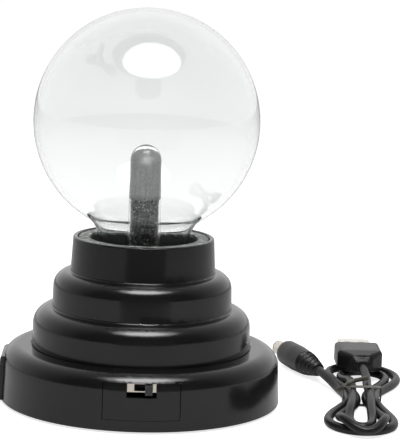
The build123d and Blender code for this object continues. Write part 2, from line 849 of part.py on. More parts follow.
switch_wire_y = -terminal_back + 1.6
with BuildPart() as switch_wires:
    for x in terminals[:2]:
        route = [
            (x, switch_wire_y, switch_mid_z + 0.7),
            (x, switch_wire_y + 1.0, 17.2),
            (x, -30.0, 18.0),
            (x, -24.0, 20.0),
            (x, -24.0, board_bottom),
        ]
        add(tube(route, wire_radius, [0.7, 4.0, 1.2]))
switch_wires.part.label = "switch_wires"
export_step(switch_wires.part, "parts/switch_wires.step")

with BuildPart() as battery_wires:
    for y in (-1.5 * cell_pitch, 1.5 * cell_pitch):
        route = [
            (battery_wire_x, y, cell_height + 4.8),
            (battery_wire_x, y, 18.0),
            (20.0, y, 20.2),
            (20.0, y, board_bottom),
        ]
        add(tube(route, wire_radius, [1.6, 1.2]))
battery_wires.part.label = "battery_wires"
export_step(battery_wires.part, "parts/battery_wires.step")

# ---- power lead: barrel plug --------------------------------------------------------

dc_tip = Vector(54.3, 68.75, dc_grip_radius)
dc_lean = radians(18.9)
dc_out = Vector(-sin(dc_lean), cos(dc_lean), 0)
dc_plane = Plane(origin=dc_tip - dc_out * dc_barrel_length, x_dir=(0, 0, 1), z_dir=dc_out)
dc_relief_start = dc_plane.offset(-dc_grip_length)
dc_relief_end = dc_relief_start.offset(-dc_relief_length)

with BuildPart() as dc_plug_barrel:
    with BuildSketch(dc_plane):
        Circle(dc_barrel_radius)
        Circle(dc_barrel_radius - 0.4, mode=Mode.SUBTRACT)
    extrude(amount=dc_barrel_length - 0.6)
dc_plug_barrel.part.label = "dc_plug_barrel"
export_step(dc_plug_barrel.part, "parts/dc_plug_barrel.step")

with BuildPart() as dc_plug_insulator:
    with BuildSketch(dc_plane):
        Circle(dc_barrel_radius - 0.4)
        Circle(1.05, mode=Mode.SUBTRACT)
    extrude(amount=dc_barrel_length - 0.6)
    with BuildSketch(dc_plane.offset(dc_barrel_length - 0.6)):
        Circle(dc_barrel_radius)
        Circle(1.05, mode=Mode.SUBTRACT)
    extrude(amount=0.6)
dc_plug_insulator.part.label = "dc_plug_insulator"
export_step(dc_plug_insulator.part, "parts/dc_plug_insulator.step")

with BuildPart() as dc_plug_grip:
    with BuildSketch(dc_plane):
        Circle(dc_grip_radius - 0.15)
    with BuildSketch(dc_plane.offset(-dc_grip_length / 2)):
        Circle(dc_grip_radius)
    with BuildSketch(dc_relief_start):
        Circle(dc_grip_radius - 0.45)
    loft(ruled=True)
    with BuildSketch(dc_relief_start):
        Circle(3.0)
    with BuildSketch(dc_relief_end):
        Circle(1.9)
    loft()
    for step in range(4):
        with BuildSketch(dc_relief_start.offset(-1.3 - 2.5 * step)):
            Circle(4.1 - 0.5 * step)
        extrude(amount=-1.5)
dc_plug_grip.part.label = "dc_plug_grip"
export_step(dc_plug_grip.part, "parts/dc_plug_grip.step")

# ---- power lead: flat USB plug ------------------------------------------------------

usb_axis_z = 7.7
usb_front = Plane(origin=(83.0, 51.25, usb_axis_z), x_dir=(1, 0, 0), z_dir=(0, 1, 0))
usb_skin = 0.3
usb_grip_length = 14.0
usb_taper_length = 5.5
usb_relief_length = 6.2
usb_relief_end = usb_front.offset(-usb_grip_length - usb_taper_length - usb_relief_length)
window_y = usb_front.origin.Y + 8.2

with BuildPart() as usb_plug_shell:
    with BuildSketch(usb_front):
        RectangleRounded(usb_width, usb_height, 0.5)
        RectangleRounded(usb_width - 2 * usb_skin, usb_height - 2 * usb_skin, 0.3, mode=Mode.SUBTRACT)
    extrude(amount=usb_length)
    with BuildSketch(Plane.XY.offset(usb_axis_z)):
        with Locations((83.0 - 2.8, window_y), (83.0 + 2.8, window_y)):
            Rectangle(2.3, 2.2)
    extrude(amount=4.0, mode=Mode.SUBTRACT)
usb_plug_shell.part.label = "usb_plug_shell"
export_step(usb_plug_shell.part, "parts/usb_plug_shell.step")

with BuildPart() as usb_plug_tongue:
    with BuildSketch(usb_front.offset(0.1)):
        with Locations((0, -usb_height / 2 + usb_skin + 1.0)):
            Rectangle(usb_width - 2 * usb_skin - 0.3, 1.9)
    extrude(amount=usb_length - 0.7)
usb_plug_tongue.part.label = "usb_plug_tongue"
export_step(usb_plug_tongue.part, "parts/usb_plug_tongue.step")

with BuildPart() as usb_plug_contacts:
    contact_level = 1.95 + usb_skin - usb_height / 2 + 0.1
    for shift in (-3.5, -1.0, 1.0, 3.5):
        with BuildSketch(usb_front.offset(3.0)):
            with Locations((shift, contact_level)):
                Rectangle(1.0, 0.2)
        extrude(amount=usb_length - 5.0)
usb_plug_contacts.part.label = "usb_plug_contacts"
export_step(usb_plug_contacts.part, "parts/usb_plug_contacts.step")

with BuildPart() as usb_plug_grip:
    with BuildSketch(usb_front):
        RectangleRounded(17.0, 8.0, 1.6)
    extrude(amount=-usb_grip_length)
    with BuildSketch(usb_front.offset(-usb_grip_length)):
        RectangleRounded(17.0, 8.0, 1.6)
    with BuildSketch(usb_front.offset(-usb_grip_length - usb_taper_length)):
        RectangleRounded(8.6, 6.6, 1.6)
    loft()
    with BuildSketch(usb_front.offset(-usb_grip_length - usb_taper_length)):
        Circle(2.3)
    extrude(amount=-usb_relief_length)
    for step in range(3):
        with BuildSketch(usb_front.offset(-usb_grip_length - usb_taper_length - 0.8 - 1.9 * step)):
            RectangleRounded(7.6 - 0.8 * step, 5.8 - 0.5 * step, 1.2)
        extrude(amount=-1.1)
usb_plug_grip.part.label = "usb_plug_grip"
export_step(usb_plug_grip.part, "parts/usb_plug_grip.step")

# ---- power lead: cord, its tied hank and the tie ------------------------------------

lay = cord_radius + 0.02  # height of a cord's centre when it lies on the table
waist_top = 6.8
waist_bottom = 0.4
waist_x = 80.0
waist_half = 6.6
lobe_start = 4.4  # the loops fan out this far each side of the tie

dc_exit = dc_relief_end.origin
dc_route = [
    tuple(dc_exit),
    (69.2, 25.4, 4.3),
    (71.8, 19.4, 2.7),
    (73.8, 13.0, lay),
    (74.7, 6.4, lay + 0.2),
    (75.2, 0.2, lay + 0.5),
]
usb_route = [
    tuple(usb_relief_end.origin),
    (83.1, 20.2, 7.3),
    (83.3, 14.4, 6.3),
    (82.9, 8.8, 5.4),
    (82.8, 2.6, 5.0),
]
for name, route in (("lead_cord_dc", dc_route), ("lead_cord_usb", usb_route)):
    radii = corner_radii(route)
    print(name, "radii", [round(radius, 1) for radius in radii])
    with BuildPart() as cord:
        add(tube(route, cord_radius, radii))
    cord.part.label = name
    export_step(cord.part, f"parts/{name}.step")

with BuildPart() as lead_hank:
    with BuildSketch():
        with BuildLine():
            Spline(
                (waist_x - waist_half, -lobe_start),
                (66.6, -18.0),
                (63.7, -31.0),
                (66.6, -43.0),
                (74.8, -50.2),
                (86.0, -42.0),
                (90.3, -31.0),
                (88.6, -18.0),
                (waist_x + waist_half, -lobe_start),
            )
            Line((waist_x + waist_half, -lobe_start), (waist_x - waist_half, -lobe_start))
        make_face()
    extrude(amount=5.2)
    with BuildSketch():
        with BuildLine():
            Spline(
                (waist_x + waist_half, lobe_start),
                (94.6, 21.5),
                (98.9, 35.0),
                (90.5, 48.0),
                (76.5, 54.4),
                (69.6, 43.0),
                (73.4, 22.0),
                (76.4, lobe_start),
            )
            Line((76.4, lobe_start), (waist_x + waist_half, lobe_start))
        make_face()
    extrude(amount=3.4)
    with BuildSketch(Plane.XY.offset(waist_bottom)):
        with Locations((waist_x, 0)):
            Rectangle(2 * waist_half, 2 * lobe_start + 1.0)
    extrude(amount=waist_top - waist_bottom)
lead_hank.part.label = "lead_hank"
export_step(lead_hank.part, "parts/lead_hank.step")

tie_gap = 0.05
tie_skin = 0.35
tie_width = 2.6
tie_front = 3.4
tie_middle_z = (waist_bottom + waist_top) / 2
tie_half = waist_half + tie_gap
tie_rise = (waist_top - waist_bottom) / 2 + tie_gap
with BuildPart() as twist_tie:
    with BuildSketch(Plane.XZ.offset(tie_front - tie_width)):
        with Locations((waist_x, tie_middle_z)):
            RectangleRounded(2 * (tie_half + tie_skin), 2 * (tie_rise + tie_skin), 0.5)
            Rectangle(2 * tie_half, 2 * tie_rise, mode=Mode.SUBTRACT)
    extrude(amount=tie_width)
    knot_z = waist_top + tie_gap + tie_skin + 0.6
    twist = [
        (71.2, -2.4, 5.2),
        (74.6, -1.8, knot_z),
        (77.2, 3.4, knot_z),
        (82.8, 7.2, knot_z + 0.3),
    ]
    add(tube(twist, 0.8, [2.6, 3.4]))
twist_tie.part.label = "twist_tie"
export_step(twist_tie.part, "parts/twist_tie.step")
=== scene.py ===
"""Plasma ball on a stepped base, with its power lead: pieces, finishes, floor, lights and lens.

Every length is in metres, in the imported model's frame: +Z up, the front faces -Y.
"""

import json
from math import cos, pi, radians, sin, sqrt

import bmesh
import bpy
import numpy as np
from mathutils import Matrix, Vector

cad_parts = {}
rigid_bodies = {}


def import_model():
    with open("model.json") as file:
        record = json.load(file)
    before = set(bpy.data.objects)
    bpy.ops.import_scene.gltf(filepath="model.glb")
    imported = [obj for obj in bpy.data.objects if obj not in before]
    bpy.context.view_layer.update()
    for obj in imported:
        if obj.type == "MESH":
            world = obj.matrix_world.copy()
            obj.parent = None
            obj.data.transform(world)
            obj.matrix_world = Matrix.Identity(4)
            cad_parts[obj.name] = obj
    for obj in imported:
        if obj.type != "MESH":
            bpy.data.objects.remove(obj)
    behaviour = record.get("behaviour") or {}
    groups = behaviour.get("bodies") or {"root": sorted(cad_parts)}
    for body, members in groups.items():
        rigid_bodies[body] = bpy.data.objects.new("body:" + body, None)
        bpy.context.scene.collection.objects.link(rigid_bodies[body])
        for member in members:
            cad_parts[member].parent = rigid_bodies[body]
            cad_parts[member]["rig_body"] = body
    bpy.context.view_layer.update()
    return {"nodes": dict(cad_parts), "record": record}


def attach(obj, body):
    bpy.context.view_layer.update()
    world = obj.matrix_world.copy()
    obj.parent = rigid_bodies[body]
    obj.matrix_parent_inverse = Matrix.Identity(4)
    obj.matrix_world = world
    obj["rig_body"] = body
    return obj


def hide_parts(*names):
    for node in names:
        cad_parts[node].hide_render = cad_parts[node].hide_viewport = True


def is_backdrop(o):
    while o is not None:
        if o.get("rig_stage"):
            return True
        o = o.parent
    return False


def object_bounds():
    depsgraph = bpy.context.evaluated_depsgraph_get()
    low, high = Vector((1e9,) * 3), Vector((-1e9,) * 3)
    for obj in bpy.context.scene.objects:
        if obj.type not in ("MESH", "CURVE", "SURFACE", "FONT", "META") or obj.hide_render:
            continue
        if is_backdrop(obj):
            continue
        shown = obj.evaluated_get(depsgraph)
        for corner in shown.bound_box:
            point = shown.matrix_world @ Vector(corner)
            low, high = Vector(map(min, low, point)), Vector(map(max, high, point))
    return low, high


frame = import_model()
nodes = frame["nodes"]
scene = bpy.context.scene
random = np.random.default_rng(11)
MM = 0.001


# ---- camera and light ---------------------------------------------------------------


def place_camera():
    """Long lens in front of the ball, a little above it, tipped down and slightly rolled."""
    pitch, yaw, roll = 0.1597, 0.0313, 0.0320
    ahead = Vector((sin(yaw) * cos(pitch), cos(yaw) * cos(pitch), -sin(pitch)))
    right = Vector((cos(yaw), -sin(yaw), 0.0))
    up = right.cross(ahead)
    lens = bpy.data.cameras.new("studio_camera")
    lens.sensor_width = 36.0
    lens.lens = 165.6
    camera = bpy.data.objects.new("studio_camera", lens)
    scene.collection.objects.link(camera)
    axes = (right * cos(roll) + up * sin(roll), up * cos(roll) - right * sin(roll), -ahead)
    turn = Matrix(axes).transposed().to_4x4()
    camera.matrix_world = Matrix.Translation((0.0, -0.72397, 0.18119)) @ turn
    scene.camera = camera


def soft_box(name, place, target, size, power, shape="RECTANGLE"):
    """Area light at place that faces target; size is its width and height."""
    lamp = bpy.data.lights.new(name, "AREA")
    lamp.shape = shape
    lamp.size, lamp.size_y = size
    lamp.energy = power
    box = bpy.data.objects.new(name, lamp)
    scene.collection.objects.link(box)
    box.location = place
    box.rotation_euler = (Vector(target) - Vector(place)).to_track_quat("-Z", "Y").to_euler()


place_camera()


# ---- the lead's cord, on one smooth line --------------------------------------------

CORD_RADIUS = 1.6 * MM

barrel_plug_end = [(67.1, 31.35, 4.95), (69.2, 25.4, 4.3), (71.8, 19.4, 2.7), (73.8, 13.0, 1.62),
                   (74.7, 6.4, 1.9), (75.2, -0.5, 2.1)]
widest_low_fold = [(74.2, -7.0, 1.9), (70.6, -14.5, 1.65), (66.9, -22.5, 1.65), (65.2, -31.0, 1.65),
                   (67.0, -38.5, 1.65), (71.5, -43.0, 1.65), (77.0, -44.6, 1.65),
                   (82.6, -43.0, 1.65), (87.2, -38.2, 1.65), (88.7, -30.5, 1.65),
                   (87.4, -21.5, 1.65), (85.9, -13.0, 1.65), (85.0, -6.0, 2.0), (84.8, 0.5, 2.1)]
widest_high_fold = [(85.8, 7.5, 1.8), (89.4, 15.0, 1.65), (94.0, 23.5, 1.65), (97.2, 33.0, 1.65),
                    (95.6, 43.5, 1.65), (89.5, 50.8, 1.65), (81.0, 52.8, 1.65),
                    (74.2, 49.2, 1.65), (71.2, 42.0, 1.65), (71.9, 32.5, 1.65),
                    (74.2, 22.5, 1.65), (77.2, 13.0, 1.8), (78.3, 5.5, 2.1), (78.4, -0.5, 2.1)]
deepest_fold = [(77.4, -7.5, 1.9), (74.0, -15.5, 1.65), (70.6, -24.0, 1.8), (69.2, -32.0, 3.4),
                (69.6, -38.5, 5.0), (70.9, -43.3, 5.0), (73.4, -47.0, 3.6), (77.3, -48.6, 2.5),
                (81.0, -47.0, 3.6), (83.2, -43.3, 5.0), (84.5, -38.5, 5.0), (84.9, -32.0, 3.4),
                (84.2, -22.5, 1.8), (82.9, -13.5, 1.65), (81.8, -6.0, 2.0), (81.6, 0.5, 2.1)]
inner_high_fold = [(82.8, 8.0, 1.8), (86.4, 16.5, 1.65), (90.6, 25.5, 1.65), (93.0, 34.0, 1.65),
                   (90.8, 42.0, 1.65), (84.5, 46.0, 1.65), (78.2, 43.2, 1.65), (75.4, 36.0, 1.65),
                   (76.2, 27.0, 2.6), (77.4, 18.0, 4.8), (77.4, 10.0, 5.1), (76.8, 1.5, 5.1)]
inner_low_fold = [(76.2, -6.0, 5.1), (75.6, -14.0, 5.1), (74.0, -22.5, 4.6), (72.7, -30.0, 2.2),
                  (73.9, -36.5, 1.65), (76.8, -39.0, 1.65), (79.6, -36.8, 1.65),
                  (81.0, -30.5, 1.9), (81.3, -22.0, 3.8), (82.0, -13.0, 5.1), (82.9, -4.0, 5.1)]
flat_plug_end = [(82.8, 2.6, 5.1), (82.9, 8.8, 5.4), (83.3, 14.4, 6.3), (83.1, 20.2, 7.3),
                 (83.0, 25.55, 7.7)]
cord_route = (barrel_plug_end + widest_low_fold + widest_high_fold + deepest_fold
              + inner_high_fold + inner_low_fold + flat_plug_end)


def lay_cord():
    """Round cord along a NURBS spline whose control points are the route."""
    curve = bpy.data.curves.new("power_cord", "CURVE")
    curve.dimensions = "3D"
    line = curve.splines.new("NURBS")
    line.points.add(len(cord_route) - 1)
    for point, place in zip(line.points, cord_route):
        point.co = (*[value * MM for value in place], 1.0)
        point.radius = CORD_RADIUS
    line.order_u = 3
    line.use_endpoint_u = True
    curve.resolution_u = 6
    curve.bevel_depth = 1.0
    curve.bevel_resolution = 5
    cord = bpy.data.objects.new("power_cord", curve)
    scene.collection.objects.link(cord)
    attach(cord, "power_lead")
    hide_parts("lead_cord_dc", "lead_cord_usb", "lead_hank")
    return cord


power_cord = lay_cord()


# ---- shader arithmetic --------------------------------------------------------------


class Value:
    """A shader socket in arithmetic: each operator adds the Math node that works it out."""

    def __init__(self, tree, socket):
        self.tree = tree
        self.socket = socket

    def worked(self, operation, first, second=0.0, clamp=False):
        """One Math node on two values or plain numbers."""
        made = self.tree.nodes.new("ShaderNodeMath")
        made.operation = operation
        made.use_clamp = clamp
        for socket, value in zip(made.inputs, (first, second)):
            put(self.tree, socket, value)
        return Value(self.tree, made.outputs[0])

    def __add__(self, other):
        return self.worked("ADD", self, other)

    def __radd__(self, other):
        return self.worked("ADD", other, self)

    def __sub__(self, other):
        return self.worked("SUBTRACT", self, other)

    def __rsub__(self, other):
        return self.worked("SUBTRACT", other, self)

    def __mul__(self, other):
        return self.worked("MULTIPLY", self, other)

    def __rmul__(self, other):
        return self.worked("MULTIPLY", other, self)

    def __gt__(self, other):
        return self.worked("GREATER_THAN", self, other)

    def __lt__(self, other):
        return self.worked("LESS_THAN", self, other)

    def __abs__(self):
        return self.worked("ABSOLUTE", self)

    def larger(self, other):
        return self.worked("MAXIMUM", self, other)

    def root(self):
        return self.worked("SQRT", self)

    def clamped(self):
        return self.worked("ADD", self, 0.0, clamp=True)

    def wave(self):
        return self.worked("SINE", self)


def put(tree, socket, value):
    """Links a Value into a socket, or writes a plain number or colour on it."""
    if isinstance(value, Value):
        tree.links.new(value.socket, socket)
    else:
        socket.default_value = value


class Finish:
    """One material: a Principled shader and whatever nodes feed it."""

    def __init__(self, name, **sockets):
        self.material = bpy.data.materials.new(name)
        self.material.use_nodes = True
        self.tree = self.material.node_tree
        self.shader = self.tree.nodes["Principled BSDF"]
        self.place = self.node("TexCoord", output="Object")
        self.set(**sockets)

    def node(self, kind, inputs=None, output=0, stops=None, **settings):
        """Any one node with its settings, inputs and colour stops; gives one of its outputs."""
        made = self.tree.nodes.new("ShaderNode" + kind)
        for key, value in settings.items():
            setattr(made, key, value)
        if stops:
            ramp = made.color_ramp
            while len(ramp.elements) < len(stops):
                ramp.elements.new(0.5)
            for element, (at, colour) in zip(ramp.elements, stops):
                element.position = at
                element.color = colour
        for key, value in (inputs or {}).items():
            put(self.tree, made.inputs[key], value)
        return Value(self.tree, made.outputs[output])

    def set(self, **sockets):
        """Writes or links the shader's sockets; an underscore stands for a space."""
        for key, value in sockets.items():
            put(self.tree, self.shader.inputs[key.replace("_", " ")], value)

    def noise(self, scale, detail=3.0, stretch=None, roughness=0.55):
        """Cloudy pattern between 0 and 1; scale is in spots per metre, stretch per axis."""
        where = self.place
        if stretch:
            where = self.node("Mapping", {"Vector": self.place, "Scale": stretch})
        return self.node(
            "TexNoise",
            {"Vector": where, "Scale": scale, "Detail": detail, "Roughness": roughness},
        )

    def cells(self, scale):
        """Distance to the nearest of scattered points, as a share of their usual spacing."""
        return self.node("TexVoronoi", {"Vector": self.place, "Scale": scale}, "Distance")

    def axis(self, name):
        """One object coordinate, X, Y or Z, in metres."""
        return self.node("SeparateXYZ", {"Vector": self.place}, name)

    def blend(self, share, low, high):
        """Colour between low and high by a share from 0 to 1."""
        made = self.tree.nodes.new("ShaderNodeMix")
        made.data_type = "RGBA"
        put(self.tree, made.inputs[0], share)
        put(self.tree, made.inputs[6], low)
        put(self.tree, made.inputs[7], high)
        return Value(self.tree, made.outputs[2])

    def clear_where(self, share, colour):
        """Mixes a plain transparent shader of a colour over the finish, by a share."""
        clear = self.node("BsdfTransparent", {"Color": colour})
        both = self.tree.nodes.new("ShaderNodeMixShader")
        self.tree.links.new(share.socket, both.inputs[0])
        self.tree.links.new(self.shader.outputs[0], both.inputs[1])
        self.tree.links.new(clear.socket, both.inputs[2])
        surface = self.tree.nodes["Material Output"].inputs["Surface"]
        self.tree.links.new(both.outputs[0], surface)

    def bump(self, height, distance):
        """Raises the surface by a height from 0 to 1 times a distance in metres."""
        self.set(Normal=self.node("Bump", {"Height": height, "Distance": distance}))


def shade(value, alpha=1.0):
    """Grey of one value, as a colour."""
    return (value, value, value, alpha)


# ---- finishes -----------------------------------------------------------------------


def glossy_black():
    """Polished black ABS: deep black with a faint moulding ripple and a little dust."""
    finish = Finish("glossy_black_abs", IOR=1.46)
    dust = finish.noise(900.0, 4.0)
    haze = finish.noise(60.0, 2.0)
    specks = (finish.cells(1400.0) < 0.07) * (finish.noise(220.0) > 0.56)
    finish.set(Base_Color=finish.blend(specks * 0.5, (0.0065, 0.0065, 0.007, 1), shade(0.09)))
    finish.set(Roughness=0.11 + haze * 0.07 + dust * 0.05 + specks * 0.25)
    finish.bump(finish.noise(140.0, 1.0) + dust * 0.06, 0.00003)
    return finish.material


def plain_moulding(name, colour, roughness, grain=1500.0, depth=0.00003, spread=0.5):
    """Moulded plastic or rubber: mottled colour, uneven roughness and a fine spark grain."""
    finish = Finish(name)
    cloud = finish.noise(180.0, 3.0)
    spark = finish.noise(grain, 2.0)
    low = tuple(channel * (1 - 0.35 * spread) for channel in colour) + (1,)
    high = tuple(channel * (1 + 0.5 * spread) + 0.004 for channel in colour) + (1,)
    finish.set(Base_Color=finish.blend(cloud, low, high))
    finish.set(Roughness=(roughness + (cloud - 0.5) * 0.15 + (spark - 0.5) * 0.2).clamped())
    finish.bump(spark, depth)
    return finish.material


def metal(name, colour, roughness, brush=(1.0, 1.0, 1.0), stain=0.25):
    """Plated metal with fine brushed lines and soft stains."""
    finish = Finish(name, Metallic=1.0)
    lines = finish.noise(2600.0, 2.0, stretch=brush)
    cloud = finish.noise(420.0, 3.0)
    dull = tuple(channel * (1 - stain) for channel in colour) + (1,)
    finish.set(Base_Color=finish.blend(cloud, dull, tuple(colour) + (1,)))
    finish.set(Roughness=(roughness + (lines - 0.5) * 0.18 + (cloud - 0.5) * 0.12).clamped())
    finish.bump(lines, 0.000012)
    return finish.material


def blown_glass(name, tint):
    """Clear glass that lamps shine through, with a slow waviness from blowing."""
    finish = Finish(name, Base_Color=tint, Roughness=0.0, IOR=1.47, Transmission_Weight=1.0)
    finish.bump(finish.noise(22.0, 1.0), 0.00008)
    finish.clear_where(finish.node("LightPath", output="Is Shadow Ray"), (0.97, 0.985, 0.978, 1))
    return finish.material


def graphite_lining():
    """Grey conductive lining: soft upright streaks, partly uneven coating and partly painted
    highlights, pale dust and pin-sized dark spots.
    """
    finish = Finish("graphite_lining", Metallic=0.75)
    streak_and_painted_highlight = finish.noise(900.0, 3.0, stretch=(1.0, 1.0, 0.1))
    dust = finish.noise(1500.0, 4.0, roughness=0.7)
    spots = (finish.cells(1100.0) < 0.2) * (finish.noise(500.0) > 0.5)
    # painted highlights: the upright streaks lighten the grey, partly as uneven coating
    grey = finish.blend(streak_and_painted_highlight, (0.075, 0.078, 0.078, 1), (0.27, 0.28, 0.274, 1))
    grey = finish.blend(((dust - 0.52) * 3.0).clamped(), grey, (0.46, 0.47, 0.45, 1))
    finish.set(Base_Color=finish.blend(spots * 0.8, grey, shade(0.03)))
    finish.set(Roughness=0.28 + dust * 0.2)
    finish.bump(dust + streak_and_painted_highlight, 0.0001)
    return finish.material


def wool_steel():
    """Bare steel shavings, with painted glints and painted shade that turns them black with depth
    towards the heart.
    """
    finish = Finish("steel_wool_shavings", Metallic=0.9)
    across = finish.axis("X")
    along = finish.axis("Y")
    depth = (across * across + along * along).root()
    # painted shade: the colour is black below the heart radius and rises to full over the shell
    heart, shell = 0.0042, 0.0008
    painted_depth_shade = ((depth - heart) * (1 / shell)).clamped()
    tint = finish.noise(900.0, 3.0)
    # painted glints: bright specks put into the base colour
    painted_glint = ((finish.noise(1200.0, 2.0) - 0.56) * 9.0).clamped()
    finish.set(Base_Color=finish.blend(
        painted_depth_shade * (0.03 + painted_glint * 0.97), shade(0.01), (1.0, 0.99, 0.96, 1)
    ))
    finish.set(Roughness=0.18 + tint * 0.25)
    finish.bump(finish.noise(3000.0, 2.0), 0.00004)
    return finish.material


def mottled_ring():
    """Dull grey ring inside the collar, mottled pale and dark, its skirt painted near black as
    painted shade.
    """
    finish = Finish("mottled_ring_grey")
    blot = finish.noise(420.0, 5.0, roughness=0.7)
    fine = finish.noise(1800.0, 3.0)
    tones = finish.node("ValToRGB", {"Fac": blot * 0.75 + fine * 0.25}, "Color", stops=[
        (0.40, (0.012, 0.012, 0.013, 1)),
        (0.50, (0.075, 0.075, 0.073, 1)),
        (0.60, (0.3, 0.3, 0.29, 1)),
    ])
    # painted shade: below this height the ring is painted near black
    skirt_top = 0.0578
    top = ((finish.axis("Z") - skirt_top) * 1200.0).clamped()
    finish.set(Base_Color=finish.blend(top, shade(0.006), tones))
    finish.set(Roughness=0.45 + fine * 0.3)
    finish.bump(fine, 0.00006)
    return finish.material


def circuit_board():
    """Green solder mask over copper tracks that run in two directions."""
    finish = Finish("circuit_board_green")
    across = (finish.axis("X") * 1700.0).wave()
    along = (finish.axis("Y") * 1100.0).wave()
    area = finish.noise(90.0, 1.0) > 0.5
    track = (across > 0.75) * area + (along > 0.8) * (1.0 - area)
    finish.set(Base_Color=finish.blend(track, (0.008, 0.075, 0.03, 1), (0.02, 0.15, 0.06, 1)))
    finish.set(Roughness=0.28 + finish.noise(600.0) * 0.12)
    finish.bump(track, 0.00004)
    return finish.material


def wound_copper():
    """Layered enamelled wire: a fine rib for each turn, with painted shade between turns."""
    finish = Finish("enamelled_copper_turns", Metallic=0.8, Coat_Weight=0.4)
    pitch = 0.00035
    rib = (finish.axis("Z") * (2 * pi / pitch)).wave() * 0.5 + 0.5
    cloud = finish.noise(500.0)
    # painted shade: the colour between turns is darker than the wire
    groove_painted_shade, crest = (0.12, 0.03, 0.012, 1), (0.62, 0.24, 0.08, 1)
    finish.set(Base_Color=finish.blend(rib * 0.7 + cloud * 0.3, groove_painted_shade, crest))
    finish.set(Roughness=0.25 + cloud * 0.2)
    finish.bump(rib, 0.0001)
    return finish.material


def striped_sleeve():
    """Shrunk capacitor sleeve with one pale polarity stripe up its side."""
    finish = Finish("capacitor_sleeve_blue")
    stripe_side, sleeve_top = 0.0186, 0.0346
    stripe = finish.axis("X") > stripe_side
    top = finish.axis("Z") > sleeve_top
    cloud = finish.noise(300.0)
    body = finish.blend(stripe, (0.006, 0.01, 0.05, 1), (0.42, 0.45, 0.5, 1))
    finish.set(Base_Color=finish.blend(top, body, (0.55, 0.55, 0.55, 1)))
    finish.set(Roughness=0.22 + cloud * 0.2, Metallic=top)
    finish.bump(finish.noise(1200.0), 0.00002)
    return finish.material


def banded_resistor():
    """Tan resistor lacquer with coloured rings round the body."""
    finish = Finish("resistor_lacquer")
    length = finish.axis("Y")
    near_end, far_end, half_ring = -0.0131, -0.0191, 0.0003
    body = finish.blend(finish.noise(800.0), (0.36, 0.22, 0.1, 1), (0.55, 0.37, 0.2, 1))
    for middle, colour in ((-0.0144, (0.3, 0.02, 0.01, 1)), (-0.0158, (0.25, 0.1, 0.01, 1)),
                           (-0.0172, (0.01, 0.01, 0.01, 1)), (-0.0184, (0.5, 0.35, 0.05, 1))):
        ring = (length > middle - half_ring) * (length < middle + half_ring)
        body = finish.blend(ring, body, colour)
    wire = (length > near_end).larger(length < far_end)
    finish.set(Base_Color=finish.blend(wire, body, shade(0.6)), Metallic=wire)
    finish.set(Roughness=0.3 + finish.noise(700.0) * 0.15)
    return finish.material


def cell_jacket():
    """Plain two-tone cell wrap with bare metal at both ends."""
    finish = Finish("cell_jacket_two_tone")
    length = finish.axis("X")
    metal_from, pale_from = 0.0229, 0.013
    ends = abs(length) > metal_from
    band = abs(length) > pale_from
    wrap = finish.blend(band, (0.03, 0.045, 0.06, 1), (0.32, 0.33, 0.34, 1))
    finish.set(Base_Color=finish.blend(ends, wrap, shade(0.7)), Metallic=ends)
    finish.set(Roughness=0.22 + finish.noise(500.0) * 0.18)
    finish.bump(finish.noise(1500.0), 0.00001)
    return finish.material


def plug_rubber(name, colour):
    """Satin moulded PVC: fine pebble, soft sheen and slightly paler worn patches."""
    finish = Finish(name, Specular_IOR_Level=0.3)
    pebble = finish.noise(1700.0, 2.0)
    wear = finish.noise(130.0, 4.0)
    fresh = tuple(colour) + (1,)
    worn = tuple(channel * 2.2 for channel in colour) + (1,)
    finish.set(Base_Color=finish.blend((wear - 0.35) * 1.4, fresh, worn))
    finish.set(Roughness=0.26 + pebble * 0.14 + wear * 0.1)
    finish.bump(pebble + wear * 0.5, 0.00004)
    return finish.material


finishes = {
    "black_abs": glossy_black(),
    "black_abs_inner": plain_moulding(
        "textured_black_abs", (0.014, 0.014, 0.0145), 0.5, 2200.0, 0.00005
    ),
    "grey_ring": mottled_ring(),
    "black_rubber": plain_moulding(
        "foot_and_gasket_rubber", (0.018, 0.018, 0.018), 0.75, 1500.0, 0.00006
    ),
    "clear_glass": blown_glass("blown_soda_glass", (0.9, 0.91, 0.905, 1)),
    "graphite": graphite_lining(),
    "steel_wool": wool_steel(),
    "zinc_steel": metal("zinc_plated_steel", (0.62, 0.62, 0.6), 0.3),
    "circuit_board": circuit_board(),
    "ferrite": plain_moulding("sintered_ferrite", (0.035, 0.034, 0.036), 0.6, 900.0, 0.00008),
    "bobbin_plastic": plain_moulding("phenolic_bobbin", (0.03, 0.02, 0.015), 0.45),
    "enamelled_copper": wound_copper(),
    "capacitor_sleeve": striped_sleeve(),
    "aluminium_fin": metal("mill_finish_aluminium", (0.78, 0.78, 0.79), 0.35, (0.1, 1.0, 1.0)),
    "component_epoxy": plain_moulding("component_epoxy_black", (0.02, 0.02, 0.02), 0.55),
    "resistor_body": banded_resistor(),
    "red_wire": plain_moulding("red_wire_pvc", (0.42, 0.012, 0.01), 0.35, 1500.0, 0.00002, 0.3),
    "black_wire": plain_moulding("black_wire_pvc", (0.02, 0.02, 0.02), 0.35, 1500.0, 0.00002),
    "nickel": metal("warm_nickel_plate", (0.80, 0.74, 0.66), 0.2, (1.0, 0.15, 1.0)),
    "bright_steel": metal("bright_plug_steel", (0.84, 0.81, 0.75), 0.24, (0.15, 1.0, 1.0), 0.12),
    "black_knob": plain_moulding("matte_black_slider", (0.016, 0.016, 0.016), 0.48),
    "cell_jacket": cell_jacket(),
    "plug_pvc": plug_rubber("plug_pvc_black", (0.007, 0.007, 0.0074)),
    "cord_pvc": plug_rubber("cord_pvc_black", (0.006, 0.006, 0.0063)),
    "tongue_plastic": plain_moulding("white_contact_carrier", (0.62, 0.62, 0.6), 0.4),
    "gold_contact": metal("gold_plated_contact", (0.85, 0.6, 0.22), 0.2),
    "tie_coat": plug_rubber("tie_coat_dull", (0.05, 0.045, 0.036)),
}
